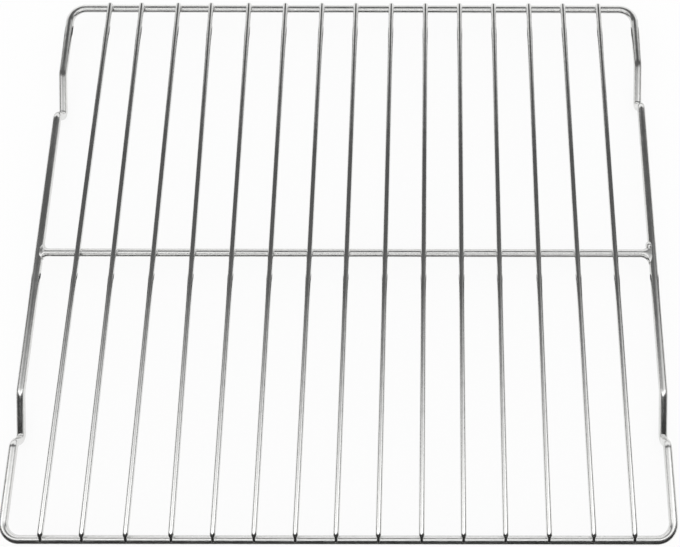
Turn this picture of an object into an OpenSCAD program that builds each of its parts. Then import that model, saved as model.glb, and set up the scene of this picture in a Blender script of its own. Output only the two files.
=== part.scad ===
// Oven rack, in millimetres. One closed wire runs round the outside, with a stop bent into
// each side near its front and its back. A crossbar joins the two sides halfway, and straight
// rods lie over the front, the back and the crossbar. Every crossing is a weld that has let
// the rod down a little into the wire under it, and left its ends a few millimetres off their
// even places.
// X runs across the rack, Y from front to back and Z up. The origin is on the surface that
// the four stops stand on, under the middle of the frame.

/* [Frame wire] */
// Width over the frame wire
rack_w = 454; // [400:1:600]
// Depth over the frame wire
rack_d = 414; // [360:1:500]
// Diameter of the frame wire
wire_d = 6; // [5:0.5:7]
// Bend radius of the four corners, to the middle of the wire
corner_r = 12; // [8:1:30]
// How much the wire's diameter shrinks where it is bent
bend_draw = 0.04; // [0.02:0.01:0.1]

/* [Stops] */
// How far a stop hangs below the frame
stop_drop = 10; // [9:0.5:14]
// Slope of the long ramp of a stop, in degrees
ramp_angle = 20; // [15:1:30]
// Slope of the steep face of a stop, in degrees
face_angle = 75; // [65:1:85]
// Bend radius at both ends of the steep face, to the middle of the wire
face_r = 5; // [4:0.25:5.5]
// Bend radius where a ramp leaves the frame, to the middle of the wire
ramp_r = 14; // [8:1:30]
// Front edge of the rack to the steep face of both front stops
front_stop = 67; // [50:1:120]
// Back edge of the rack to the steep face of the rear stop on the left
rear_stop_left = 97; // [75:1:125]
// Back edge of the rack to the steep face of the rear stop on the right
rear_stop_right = 88; // [75:1:125]

/* [Crossbar] */
// Diameter of the crossbar
bar_d = 6; // [5:0.5:7]
// Front edge of the rack to the middle of the crossbar
bar_at = 205; // [180:1:230]
// Radius of the weld fillets at the ends of the crossbar
weld_r = 4; // [2:0.5:6]
// How far those welds lap round the side wire
weld_lap = 1.5; // [0.5:0.25:2]
// How far they stand above and below the side wire
weld_rise = 0.3; // [0.1:0.1:1]

/* [Rods] */
// Number of rods
rod_count = 15; // [9:1:19]
// Diameter of a rod
rod_d = 4; // [3:0.5:5]
// How far a rod is let down into each wire that it crosses
weld_set = 0.8; // [0.4:0.1:1.2]
// Middle of the front wire back to the front end of the rods
rod_setback = 1; // [-1:0.25:1]
// Middle of the back wire on to the rear end of the rods
rod_overhang = 2.5; // [0:0.25:4]
// Bevel round the ends of the rods
rod_bevel = 1; // [0.4:0.1:1.4]
// How far right of its even place the front end of each rod is welded, from the left rod on
front_stray = [-2, -2, -1, 2, 1, 0, -1, -2, -2, -1, -1, -1, 0, 2, 1]; // [-4:1:4]
// The same for the rear end of each rod
rear_stray = [4, 1, 2, 0, 2, 3, 4, 3, 3, 2, 1, 0, 0, -1, -1]; // [-4:1:4]

/* [Hidden] */
$fn = 48;

// How far a straight run reaches into the bend next to it
lap = 0.15;
// How far the toe of a weld fillet runs under the skin of the crossbar
weld_toe = 0.15;

// Middle of the frame wire
side_x = (rack_w - wire_d) / 2;
front_y = -(rack_d - wire_d) / 2;
back_y = (rack_d - wire_d) / 2;
frame_z = stop_drop + wire_d / 2;

bar_y = bar_at - rack_d / 2;
rod_z = frame_z + (wire_d + rod_d) / 2 - weld_set;
rod_gap = 2 * side_x / (rod_count + 1);

// The ramp and the steep face of a stop would meet at a sharp tip, below the round bend that
// joins them. The bend touches both, and its lowest point is stop_drop below the frame.
tip_shift = face_r * (1 / cos(face_angle) - 1 / cos(ramp_angle)) / (tan(ramp_angle) + tan(face_angle));
tip_drop = stop_drop + face_r * (1 / cos(ramp_angle) - 1) + tip_shift * tan(ramp_angle);
face_run = tip_drop / tan(face_angle);
ramp_run = tip_drop / tan(ramp_angle);

// The three corners of a stop, from front to back: each is [point, bend radius]
function stop(x, face_y) = [
    [[x, face_y, frame_z], face_r],
    [[x, face_y + face_run, frame_z - tip_drop], face_r],
    [[x, face_y + face_run + ramp_run, frame_z], ramp_r]
];

function corner(x, y) = [[[x, y, frame_z], corner_r]];

function reversed(list) = [for (i = [len(list) - 1:-1:0]) list[i]];

// All corners of the closed frame wire, up the left side and down the right
FRAME = concat(
    corner(-side_x, front_y),
    stop(-side_x, front_stop - rack_d / 2),
    stop(-side_x, rack_d / 2 - rear_stop_left),
    corner(-side_x, back_y),
    corner(side_x, back_y),
    reversed(stop(side_x, rack_d / 2 - rear_stop_right)),
    reversed(stop(side_x, front_stop - rack_d / 2)),
    corner(side_x, front_y)
);

function unit(v) = v / norm(v);

function heading(a, b) = unit(b[0] - a[0]);

function turn(u, w) = acos(u * w);

// Length of straight run that the bend at a corner takes up on each side of it
function taken(u, w, r) = r * tan(turn(u, w) / 2);

function rod_name(i) = str("rod_", i < 10 ? "0" : "", i);

// Where an end of rod i lies across the rack. A rod past the end of the list is in its even place.
function rod_x(i, stray) = (i - (rod_count + 1) / 2) * rod_gap + (i > len(stray) ? 0 : stray[i - 1]);

// Stands its children up from a towards b
module along(a, b) {
    u = unit(b - a);
    translate(a)
        rotate([0, acos(u.z), atan2(u.y, u.x)])
            children();
}

// A round bar from a to b
module run(a, b, d) {
    along(a, b)
        cylinder(d = d, h = norm(b - a));
}

// The bend at corner p, from heading u to heading w
module bend(p, u, w, r, d) {
    axis = unit(cross(u, w));
    inward = cross(axis, u);
    start = p - u * taken(u, w, r);
    centre = start + inward * r;
    multmatrix([
        [-inward.x, u.x, axis.x, centre.x],
        [-inward.y, u.y, axis.y, centre.y],
        [-inward.z, u.z, axis.z, centre.z],
        [0, 0, 0, 1]
    ])
        rotate_extrude(angle = turn(u, w))
            translate([r, 0])
                circle(d = d);
}

module frame_wire() {
    n = len(FRAME);
    color("silver")
        for (i = [0:n - 1]) {
            before = FRAME[(i + n - 1) % n];
            here = FRAME[i];
            after = FRAME[(i + 1) % n];
            beyond = FRAME[(i + 2) % n];
            u = heading(before, here);
            w = heading(here, after);
            bend(here[0], u, w, here[1], wire_d - bend_draw);
            run(
                here[0] + w * (taken(u, w, here[1]) - lap),
                after[0] - w * (taken(w, heading(after, beyond), after[1]) - lap),
                wire_d
            );
        }
}

// The straight runs of the frame wire that other pieces are seated on
module side_run(x) {
    run([x, bar_y - weld_r - bar_d, frame_z], [x, bar_y + weld_r + bar_d, frame_z], wire_d);
}

module end_run(y) {
    run([-side_x, y, frame_z], [side_x, y, frame_z], wire_d);
}

module bar_run() {
    run([-side_x, bar_y, frame_z], [side_x, bar_y, frame_z], bar_d);
}

// Weld metal round the left end of the crossbar: a collar that laps the side wire, and a
// hollow fillet that runs out along the bar
module weld_collar() {
    collar_r = bar_d / 2 + weld_r - weld_toe;
    intersection() {
        translate([-side_x + wire_d / 2 - weld_lap, bar_y, frame_z])
            rotate([0, 90, 0])
                rotate_extrude()
                    difference() {
                        square([collar_r, weld_lap + weld_r]);
                        translate([collar_r, weld_lap + weld_r])
                            circle(r = weld_r);
                    }
        translate([-side_x, bar_y, frame_z])
            cube([2 * (wire_d + weld_r), 3 * collar_r, wire_d + 2 * weld_rise], center = true);
    }
}

module crossbar() {
    color("silver")
        difference() {
            union() {
                bar_run();
                weld_collar();
                mirror([1, 0, 0]) weld_collar();
            }
            side_run(-side_x);
            side_run(side_x);
        }
}

// Rod number i, counted from the left, bevelled at both ends and seated on what it crosses
module rod(i) {
    front = [rod_x(i, front_stray), front_y + rod_setback, rod_z];
    rear = [rod_x(i, rear_stray), back_y + rod_overhang, rod_z];
    length = norm(rear - front);
    color("lightgray")
        difference() {
            along(front, rear) {
                cylinder(d1 = rod_d - 2 * rod_bevel, d2 = rod_d, h = rod_bevel);
                translate([0, 0, rod_bevel])
                    cylinder(d = rod_d, h = length - 2 * rod_bevel);
                translate([0, 0, length - rod_bevel])
                    cylinder(d1 = rod_d, d2 = rod_d - 2 * rod_bevel, h = rod_bevel);
            }
            end_run(front_y);
            bar_run();
            end_run(back_y);
        }
}

frame_wire();
crossbar();
for (i = [1:rod_count])
    rod(i);
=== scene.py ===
import math

import bpy
import numpy as np
from mathutils import Matrix, Vector, noise


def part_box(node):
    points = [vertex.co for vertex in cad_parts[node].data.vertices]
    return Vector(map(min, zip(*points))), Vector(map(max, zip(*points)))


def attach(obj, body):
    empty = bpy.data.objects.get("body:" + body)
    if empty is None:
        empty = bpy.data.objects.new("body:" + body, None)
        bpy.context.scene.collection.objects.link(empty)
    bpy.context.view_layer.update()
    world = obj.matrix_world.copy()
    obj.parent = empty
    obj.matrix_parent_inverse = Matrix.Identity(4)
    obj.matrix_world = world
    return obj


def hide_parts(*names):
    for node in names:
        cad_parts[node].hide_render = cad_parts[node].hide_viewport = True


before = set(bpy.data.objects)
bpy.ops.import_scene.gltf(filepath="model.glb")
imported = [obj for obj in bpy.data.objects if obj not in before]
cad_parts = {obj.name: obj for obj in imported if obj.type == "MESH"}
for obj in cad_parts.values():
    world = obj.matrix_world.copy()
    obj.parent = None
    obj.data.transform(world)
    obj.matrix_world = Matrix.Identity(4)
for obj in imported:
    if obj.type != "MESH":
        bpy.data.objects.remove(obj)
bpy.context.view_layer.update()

# Sizes of the rack in metres, as in the solids that these pieces stand for
WIRE_R = 0.003
ROD_R = 0.002
CORNER_R = 0.012
STOP_FACE_R = 0.005
STOP_RAMP_R = 0.014
RAMP_ANGLE = math.radians(20)
FACE_ANGLE = math.radians(75)
FRONT_STOP = 0.067
REAR_STOP_LEFT = 0.097
REAR_STOP_RIGHT = 0.088
WELD_SET = 0.0008

# Places that the solids give
LOW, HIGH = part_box("frame_wire")
SIDE_X = HIGH.x - WIRE_R
FRONT_Y = LOW.y + WIRE_R
BACK_Y = HIGH.y - WIRE_R
FRAME_Z = HIGH.z - WIRE_R
STOP_DROP = FRAME_Z - WIRE_R - LOW.z
BAR_Y = sum(v.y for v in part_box("crossbar")) / 2
ROD_NODES = sorted(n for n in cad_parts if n.startswith("rod_"))
ROD_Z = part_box(ROD_NODES[0])[1].z - ROD_R

# How finely the wires are swept
RING = 40
RUN_STEP = 0.003
BEND_STEP = math.radians(4)

UP = np.array([0.0, 0.0, 1.0])


def unit(v):
    return v / np.linalg.norm(v)


def stop_corners(x, face_y, away):
    """The three bends of a stop, as (point, radius). The steep face stands at face_y and the ramp runs away from it."""
    shift = STOP_FACE_R * (1 / math.cos(FACE_ANGLE) - 1 / math.cos(RAMP_ANGLE))
    shift /= math.tan(RAMP_ANGLE) + math.tan(FACE_ANGLE)
    drop = STOP_DROP + STOP_FACE_R * (1 / math.cos(RAMP_ANGLE) - 1) + shift * math.tan(RAMP_ANGLE)
    face_run = away * drop / math.tan(FACE_ANGLE)
    ramp_run = away * drop / math.tan(RAMP_ANGLE)
    return [
        ((x, face_y, FRAME_Z), STOP_FACE_R),
        ((x, face_y + face_run, FRAME_Z - drop), STOP_FACE_R),
        ((x, face_y + face_run + ramp_run, FRAME_Z), STOP_RAMP_R),
    ]


def side_corners(x, rear_stop):
    """All bends of one side of the frame wire, from front to back"""
    return (
        [((x, FRONT_Y, FRAME_Z), CORNER_R)]
        + stop_corners(x, LOW.y + FRONT_STOP, 1)
        + stop_corners(x, HIGH.y - rear_stop, 1)
        + [((x, BACK_Y, FRAME_Z), CORNER_R)]
    )


def closed_route(corners):
    """Points along a closed wire with round bends, evenly spaced along its runs"""
    count = len(corners)
    at = [np.array(p) for p, r in corners]
    heading = [unit(at[(i + 1) % count] - at[i]) for i in range(count)]
    points = []
    for i in range(count):
        u, w, radius = heading[i - 1], heading[i], corners[i][1]
        turn = math.acos(np.clip(u @ w, -1, 1))
        inward = unit(w - u * (u @ w))
        start = at[i] - u * radius * math.tan(turn / 2)
        steps = max(2, math.ceil(turn / BEND_STEP))
        for k in range(steps + 1):
            a = turn * k / steps
            points.append(start + radius * (u * math.sin(a) + inward * (1 - math.cos(a))))
        nxt = corners[(i + 1) % count][1]
        turn_next = math.acos(np.clip(w @ heading[(i + 1) % count], -1, 1))
        end = at[(i + 1) % count] - w * nxt * math.tan(turn_next / 2)
        length = np.linalg.norm(end - points[-1])
        steps = max(1, round(length / RUN_STEP))
        run_start = points[-1]
        points += [run_start + (end - run_start) * k / steps for k in range(1, steps)]
    return np.array(points)


def sweep(points, radii, closed=False, squash=None):
    """A tube along points. It stores how far along and round the wire each vertex is, and the wire's direction there."""
    n = len(points)
    if closed:
        tangent = np.roll(points, -1, 0) - np.roll(points, 1, 0)
    else:
        tangent = np.gradient(points, axis=0)
    tangent /= np.linalg.norm(tangent, axis=1)[:, None]
    side = np.cross(tangent, UP)
    side /= np.linalg.norm(side, axis=1)[:, None]
    top = np.cross(side, tangent)
    step = np.linalg.norm(np.diff(points, axis=0), axis=1)
    along = np.concatenate([[0], np.cumsum(step)])
    a = np.linspace(0, 2 * math.pi, RING, endpoint=False)
    radii = np.broadcast_to(radii, (n,))
    across = radii[:, None] * np.cos(a)
    over = radii[:, None] * np.sin(a)
    if squash is not None:
        across, over = squash(along, across, over)
    co = points[:, None] + across[..., None] * side[:, None] + over[..., None] * top[:, None]
    faces = []
    for i in range(n if closed else n - 1):
        j = (i + 1) % n
        for k in range(RING):
            m = (k + 1) % RING
            faces.append((i * RING + k, i * RING + m, j * RING + m, j * RING + k))
    verts = co.reshape(-1, 3)
    coord = np.stack([np.broadcast_to(along[:, None], across.shape), across, over], -1).reshape(-1, 3)
    lay = np.repeat(tangent, RING, axis=0)
    if not closed:
        for i, ring in ((0, range(RING)), (n - 1, range(RING - 1, -1, -1))):
            centre = len(verts)
            verts = np.vstack([verts, points[i]])
            coord = np.vstack([coord, [along[i], 0, 0]])
            lay = np.vstack([lay, tangent[i]])
            ring = [i * RING + k for k in ring]
            faces += [(centre, ring[(k + 1) % RING], ring[k]) for k in range(RING)]
    return verts, faces, coord, lay


def bead(centre, radii, rings=10, ring=16):
    """A small rounded lump of weld metal"""
    verts, faces = [], []
    for i in range(rings + 1):
        a = math.pi * i / rings
        for k in range(ring):
            b = 2 * math.pi * k / ring
            verts.append((math.sin(a) * math.cos(b), math.sin(a) * math.sin(b), math.cos(a)))
    for i in range(rings):
        for k in range(ring):
            m = (k + 1) % ring
            faces.append((i * ring + k, (i + 1) * ring + k, (i + 1) * ring + m, i * ring + m))
    verts = np.array(verts) * np.array(radii) + np.array(centre)
    return verts, faces, verts.copy(), np.tile((1.0, 0.0, 0.0), (len(verts), 1))


def make(name, parts):
    """One mesh out of several swept tubes and beads"""
    faces, start = [], 0
    for verts, part_faces, coord, lay in parts:
        faces += [tuple(start + k for k in f) for f in part_faces]
        start += len(verts)
    verts, coord, lay = (np.vstack([p[k] for p in parts]) for k in (0, 2, 3))
    mesh = bpy.data.meshes.new(name)
    mesh.from_pydata(verts.tolist(), [], faces)
    for label, values in (("wire", coord), ("lay", lay)):
        layer = mesh.attributes.new(label, "FLOAT_VECTOR", "POINT")
        layer.data.foreach_set("vector", values.astype(np.float32).ravel())
    mesh.polygons.foreach_set("use_smooth", [True] * len(mesh.polygons))
    mesh.update()
    piece = bpy.data.objects.new(name, mesh)
    bpy.context.scene.collection.objects.link(piece)
    return piece


def chrome(name, tint, rough_low, rough_high, lines):
    """Bright plating on drawn wire: faint lines along the wire, small ripples, and duller patches"""
    mat = bpy.data.materials.new(name)
    mat.use_nodes = True
    tree = mat.node_tree
    node = tree.nodes.new
    link = tree.links.new
    shader = tree.nodes["Principled BSDF"]
    shader.inputs["Metallic"].default_value = 1.0
    shader.inputs["Anisotropic"].default_value = 0.8
    shader.inputs["Anisotropic Rotation"].default_value = 0.25
    wire = node("ShaderNodeAttribute")
    wire.attribute_name = "wire"
    lay = node("ShaderNodeAttribute")
    lay.attribute_name = "lay"
    link(lay.outputs["Vector"], shader.inputs["Tangent"])

    def noise_at(scale, size, detail=2.0):
        """Noise over the straightened wire, with its own scale along and across"""
        place = node("ShaderNodeMapping")
        place.inputs["Scale"].default_value = scale
        link(wire.outputs["Vector"], place.inputs["Vector"])
        tex = node("ShaderNodeTexNoise")
        tex.inputs["Scale"].default_value = size
        tex.inputs["Detail"].default_value = detail
        link(place.outputs["Vector"], tex.inputs["Vector"])
        return tex.outputs["Fac"]

    def ramp(value, low, high, out_low, out_high):
        m = node("ShaderNodeMapRange")
        m.interpolation_type = "SMOOTHSTEP"
        for key, v in (("From Min", low), ("From Max", high), ("To Min", out_low), ("To Max", out_high)):
            m.inputs[key].default_value = v
        link(value, m.inputs["Value"])
        return m.outputs["Result"]

    patches = noise_at((1, 1, 1), 60.0, 4.0)
    link(ramp(patches, 0.35, 0.7, rough_low, rough_high), shader.inputs["Roughness"])

    colour = node("ShaderNodeMix")
    colour.data_type = "RGBA"
    colour.inputs["A"].default_value = (*tint, 1)
    colour.inputs["B"].default_value = (*(0.86 * c for c in tint), 1)
    link(ramp(noise_at((1, 1, 1), 220.0, 5.0), 0.5, 0.8, 0.0, 0.5), colour.inputs["Factor"])
    link(colour.outputs["Result"], shader.inputs["Base Color"])

    drawn = node("ShaderNodeBump")
    drawn.inputs["Strength"].default_value = lines
    drawn.inputs["Distance"].default_value = 0.0001
    link(noise_at((0.02, 1, 1), 3000.0, 2.0), drawn.inputs["Height"])
    ripple = node("ShaderNodeBump")
    ripple.inputs["Strength"].default_value = 0.12
    ripple.inputs["Distance"].default_value = 0.0004
    link(noise_at((0.5, 1, 1), 350.0, 1.0), ripple.inputs["Height"])
    link(drawn.outputs["Normal"], ripple.inputs["Normal"])
    link(ripple.outputs["Normal"], shader.inputs["Normal"])
    return mat


def dress(piece, mat, slot, *nodes):
    piece.data.materials.append(mat)
    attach(piece, "root")
    if nodes:
        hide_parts(*nodes)
    return piece


# The frame wire
FRAME_CHROME = chrome("frame_chrome", (0.78, 0.78, 0.77), 0.2, 0.27, 0.05)
ROD_CHROME = chrome("rod_chrome", (0.78, 0.78, 0.77), 0.14, 0.2, 0.05)

left = side_corners(-SIDE_X, REAR_STOP_LEFT)
right = side_corners(SIDE_X, REAR_STOP_RIGHT)
frame_route = closed_route(left + right[::-1])
dress(make("frame_loop", [sweep(frame_route, WIRE_R, closed=True)]), FRAME_CHROME, "frame_chrome", "frame_wire")


# The crossbar, with hollow weld fillets at its ends
def crossbar():
    """The bar between the sides. Its ends flare along the side wires in a hollow fillet, wider in plan than in height."""
    reach = SIDE_X - WIRE_R * 0.3
    ends = np.linspace(0, 0.012, 25)[:-1]
    middle = np.linspace(-reach + 0.012, reach - 0.012, 140)
    x = np.concatenate([-reach + ends, middle, (reach - ends)[::-1]])
    points = np.stack([x, np.full(len(x), BAR_Y), np.full(len(x), FRAME_Z)], 1)
    fillet = {(-1, 1): 0.0040, (-1, -1): 0.0028, (1, 1): 0.0048, (1, -1): 0.0060}

    def flare(along, across, over):
        across, over = across.copy(), over.copy()
        for i, px in enumerate(x):
            end = 1 if px > 0 else -1
            gap = SIDE_X - WIRE_R - abs(px)
            for k in range(RING):
                toward = -1 if across[i, k] > 0 else 1
                r = fillet[(end, toward)]
                inside = np.clip(r - gap, 0, r)
                grow = r - math.sqrt(max(r * r - inside * inside, 0))
                share = abs(across[i, k]) / WIRE_R
                across[i, k] *= 1 + grow / WIRE_R
                over[i, k] *= 1 + 0.06 * share * (inside / r) ** 2
        return across, over

    lumps = (
        ((SIDE_X - 0.0026, BAR_Y + 0.0054, FRAME_Z + 0.0014), (0.0024, 0.0032, 0.0026)),
        ((-SIDE_X + 0.0040, BAR_Y + 0.0006, FRAME_Z + 0.0014), (0.0022, 0.0020, 0.0018)),
        ((-SIDE_X + 0.0085, BAR_Y - 0.0016, FRAME_Z + 0.0010), (0.0022, 0.0013, 0.0018)),
    )
    return make("crossbar_wire", [sweep(points, WIRE_R, squash=flare)] + [bead(*lump) for lump in lumps])


dress(crossbar(), FRAME_CHROME, "frame_chrome", "crossbar")


FRONT_DOME = 0.0036
REAR_DOME = 0.0016


def rod(node):
    """A rod with rounded ends, along the line of its own solid"""
    verts = np.array([v.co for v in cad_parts[node].data.vertices])
    middle = (verts[:, 1].min() + verts[:, 1].max()) / 2
    ends = [verts[verts[:, 1] < middle], verts[verts[:, 1] > middle]]
    a, b = (np.array([e[:, 0].mean(), y, ROD_Z]) for e, y in zip(ends, (verts[:, 1].min(), verts[:, 1].max())))
    length = np.linalg.norm(b - a)
    turns = np.linspace(0.04, math.pi / 2, 14)
    front_cap, rear_cap = (dome * (1 - np.cos(turns)) for dome in (FRONT_DOME, REAR_DOME))
    cap_r = ROD_R * np.sin(turns) ** 0.75
    run = np.linspace(FRONT_DOME, length - REAR_DOME, 120)[1:-1]
    along = np.concatenate([front_cap, run, length - rear_cap[::-1]])
    radii = np.concatenate([cap_r, np.full(len(run), ROD_R), cap_r[::-1]])
    points = a + (b - a) * (along / length)[:, None]
    parts = [sweep(points, radii)]
    neck = np.array([(a[0], FRONT_Y + 0.0024, ROD_Z + 0.0001), (a[0], FRONT_Y - 0.0018, FRAME_Z + 0.0020)])
    steps = np.linspace(0, 1, 9)[:, None]
    parts.append(sweep(neck[0] + (neck[1] - neck[0]) * steps, np.linspace(0.0012, 0.0008, 9)))
    for y in (BAR_Y, BACK_Y):
        x = a[0] + (b[0] - a[0]) * (y - a[1]) / (b[1] - a[1])
        parts.append(bead((x, y, FRAME_Z + WIRE_R - 0.0006), (0.0030, 0.0019, 0.0013)))
    return make(node + "_wire", parts)


for node_name in ROD_NODES:
    dress(rod(node_name), ROD_CHROME, "rod_chrome", node_name)


# The studio. The camera sees a plain white floor. The metal also sees a soft light panel over the front of the
# rack, a white backdrop low down at the rear, and a dark room in front of it and above it.
def arithmetic(tree):
    """Short ways to build node expressions in a tree"""
    def value(v, socket):
        if isinstance(v, (int, float)):
            socket.default_value = v
        else:
            tree.links.new(v, socket)

    def op(kind, a, b=0.0):
        n = tree.nodes.new("ShaderNodeMath")
        n.operation = kind
        value(a, n.inputs[0])
        value(b, n.inputs[1])
        return n.outputs[0]

    def ramp(v, points):
        """A smooth curve through (value, level) points"""
        total = None
        for (v0, l0), (v1, l1) in zip(points, points[1:]):
            n = tree.nodes.new("ShaderNodeMapRange")
            n.interpolation_type = "SMOOTHSTEP"
            for key, x in (("From Min", v0), ("From Max", v1), ("To Min", 0.0), ("To Max", l1 - l0)):
                n.inputs[key].default_value = x
            value(v, n.inputs["Value"])
            total = n.outputs["Result"] if total is None else op("ADD", total, n.outputs["Result"])
        return op("ADD", total, points[0][1])

    def blend(a, b, share):
        n = tree.nodes.new("ShaderNodeMix")
        value(a, n.inputs["A"])
        value(b, n.inputs["B"])
        value(share, n.inputs["Factor"])
        return n.outputs["Result"]

    return op, ramp, blend


def sheet(name, low, high, z, mat, seen_by_all=False):
    mesh = bpy.data.meshes.new(name)
    (x0, y0), (x1, y1) = low, high
    mesh.from_pydata([(x0, y0, z), (x1, y0, z), (x1, y1, z), (x0, y1, z)], [], [(0, 1, 2, 3)])
    mesh.materials.append(mat)
    obj = bpy.data.objects.new(name, mesh)
    bpy.context.scene.collection.objects.link(obj)
    if not seen_by_all:
        obj.visible_camera = False
        obj.visible_diffuse = False
        obj.visible_transmission = False
        obj.visible_volume_scatter = False
        obj.visible_shadow = False
    return obj


def emitter(name, strength_of):
    """A material that gives off the light that strength_of computes from its tree"""
    mat = bpy.data.materials.new(name)
    mat.use_nodes = True
    tree = mat.node_tree
    tree.nodes.clear()
    light = tree.nodes.new("ShaderNodeEmission")
    tree.links.new(strength_of(tree), light.inputs["Strength"])
    out = tree.nodes.new("ShaderNodeOutputMaterial")
    tree.links.new(light.outputs["Emission"], out.inputs["Surface"])
    return mat


def floor_material():
    mat = bpy.data.materials.new("floor_white")
    mat.use_nodes = True
    tree = mat.node_tree
    paint = tree.nodes["Principled BSDF"]
    paint.inputs["Base Color"].default_value = (0.95, 0.95, 0.95, 1)
    paint.inputs["Roughness"].default_value = 0.9
    paint.inputs["Specular IOR Level"].default_value = 0.0
    white = tree.nodes.new("ShaderNodeEmission")
    rays = tree.nodes.new("ShaderNodeLightPath")
    op, ramp, blend = arithmetic(tree)
    seen = op("MAXIMUM", rays.outputs["Is Camera Ray"], rays.outputs["Is Glossy Ray"])
    seen = op("MAXIMUM", seen, rays.outputs["Is Transmission Ray"])
    pick = tree.nodes.new("ShaderNodeMixShader")
    tree.links.new(op("MULTIPLY", seen, FLOOR_WHITE), pick.inputs[0])
    tree.links.new(paint.outputs["BSDF"], pick.inputs[1])
    tree.links.new(white.outputs["Emission"], pick.inputs[2])
    tree.links.new(pick.outputs["Shader"], tree.nodes["Material Output"].inputs["Surface"])
    return mat


def panel_strength(tree):
    """Brightest over the front, and fading towards a rear edge that runs further back at both sides"""
    op, ramp, blend = arithmetic(tree)
    where = tree.nodes.new("ShaderNodeNewGeometry")
    split = tree.nodes.new("ShaderNodeSeparateXYZ")
    tree.links.new(where.outputs["Position"], split.inputs["Vector"])
    side = op("ABSOLUTE", op("ADD", split.outputs["X"], 0.1))
    depth = op("SUBTRACT", split.outputs["Y"], op("MULTIPLY", side, 0.27))
    return ramp(depth, PANEL)


FLOOR_WHITE = 0.86
PANEL_Z = 0.663
# Strength of the panel against distance to the rear
PANEL = ((-0.48, 0.02), (-0.38, 1.7), (-0.27, 1.5), (-0.15, 1.0), (-0.07, 0.72), (0.01, 0.38), (0.07, 0.18), (0.14, 0.1))

sheet("floor", (-4, -4), (4, 4), 0.0, floor_material(), seen_by_all=True)
GLOOM = emitter("gloom", lambda tree: arithmetic(tree)[0]("ADD", 0.02, 0.0))
sheet("front_gloom", (-4, -0.26), (4, -0.222), 0.001, GLOOM)
# The front wall is the dark room in front. The two low sheets just in front of the crossbar and the back wire are
# painted shade: dark sheets under the rack that only the metal's reflections see.
for name, y, height in (("front_wall", -0.26, 0.075), ("bar_painted_shade", BAR_Y - 0.016, 0.013), ("back_painted_shade", BACK_Y - 0.016, 0.013)):
    wall = sheet(name, (-2, 0), (2, height), 0.0, GLOOM)
    wall.rotation_euler.x = math.pi / 2
    wall.location.y = y
sheet("panel", (-1.0, -0.6), (1.0, 0.35), PANEL_Z, emitter("panel_light", panel_strength))


def room():
    world = bpy.data.worlds.new("room")
    bpy.context.scene.world = world
    world.use_nodes = True
    tree = world.node_tree
    tree.nodes.clear()
    node = tree.nodes.new
    link = tree.links.new
    op, ramp, blend = arithmetic(tree)

    where = node("ShaderNodeTexCoord")
    split = node("ShaderNodeSeparateXYZ")
    link(where.outputs["Generated"], split.inputs["Vector"])
    x, y, z = (split.outputs[k] for k in "XYZ")
    walls = ramp(y, WALLS)
    backdrop = op("MULTIPLY", ramp(y, ((0.42, 0.0), (0.6, 1.0))), ramp(z, ((0.6, 1.0), (0.78, 0.0))))
    seen = blend(walls, BACKDROP, backdrop)
    window = op("MULTIPLY", ramp(y, ((-0.75, 1.0), (-0.5, 0.0))), ramp(z, ((0.1, 0.0), (0.3, 1.0), (0.6, 1.0), (0.75, 0.0))))
    seen = blend(seen, WINDOW, window)

    metal = node("ShaderNodeBackground")
    link(seen, metal.inputs["Strength"])
    even = node("ShaderNodeBackground")
    even.inputs["Color"].default_value = (1, 1, 1, 1)
    rays = node("ShaderNodeLightPath")
    pick = node("ShaderNodeMixShader")
    link(rays.outputs["Is Glossy Ray"], pick.inputs["Fac"])
    link(even.outputs["Background"], pick.inputs[1])
    link(metal.outputs["Background"], pick.inputs[2])
    out = node("ShaderNodeOutputWorld")
    link(pick.outputs["Shader"], out.inputs["Surface"])


# Brightness of the room that the metal sees, against how far a direction points to the rear
WALLS = ((-0.45, 0.02), (-0.12, 0.24), (0.08, 0.24), (0.34, 0.13), (0.5, 0.1))
BACKDROP = 1.3
WINDOW = 1.3
room()


# The camera, where the photograph was taken
def camera():
    data = bpy.data.cameras.new("camera")
    cam = bpy.data.objects.new("camera", data)
    bpy.context.scene.collection.objects.link(cam)
    bpy.context.scene.camera = cam
    data.sensor_width = 36.0
    data.lens = 49.98
    data.shift_x = -0.1206
    data.clip_start = 0.01
    pitch, yaw, roll = math.radians(72.05), math.radians(0.236), math.radians(-0.309)
    ahead = Vector((math.sin(yaw) * math.cos(pitch), math.cos(yaw) * math.cos(pitch), -math.sin(pitch)))
    right = Vector((math.cos(yaw), -math.sin(yaw), 0))
    down = ahead.cross(right)
    r = math.cos(roll) * right + math.sin(roll) * down
    d = -math.sin(roll) * right + math.cos(roll) * down
    turn = Matrix((r, -d, -ahead)).transposed()
    cam.matrix_world = Matrix.Translation(Vector((0.0547, FRONT_Y - 0.0249, FRAME_Z + 0.6518))) @ turn.to_4x4()


camera()

scene = bpy.context.scene
scene.view_settings.view_transform = "Standard"
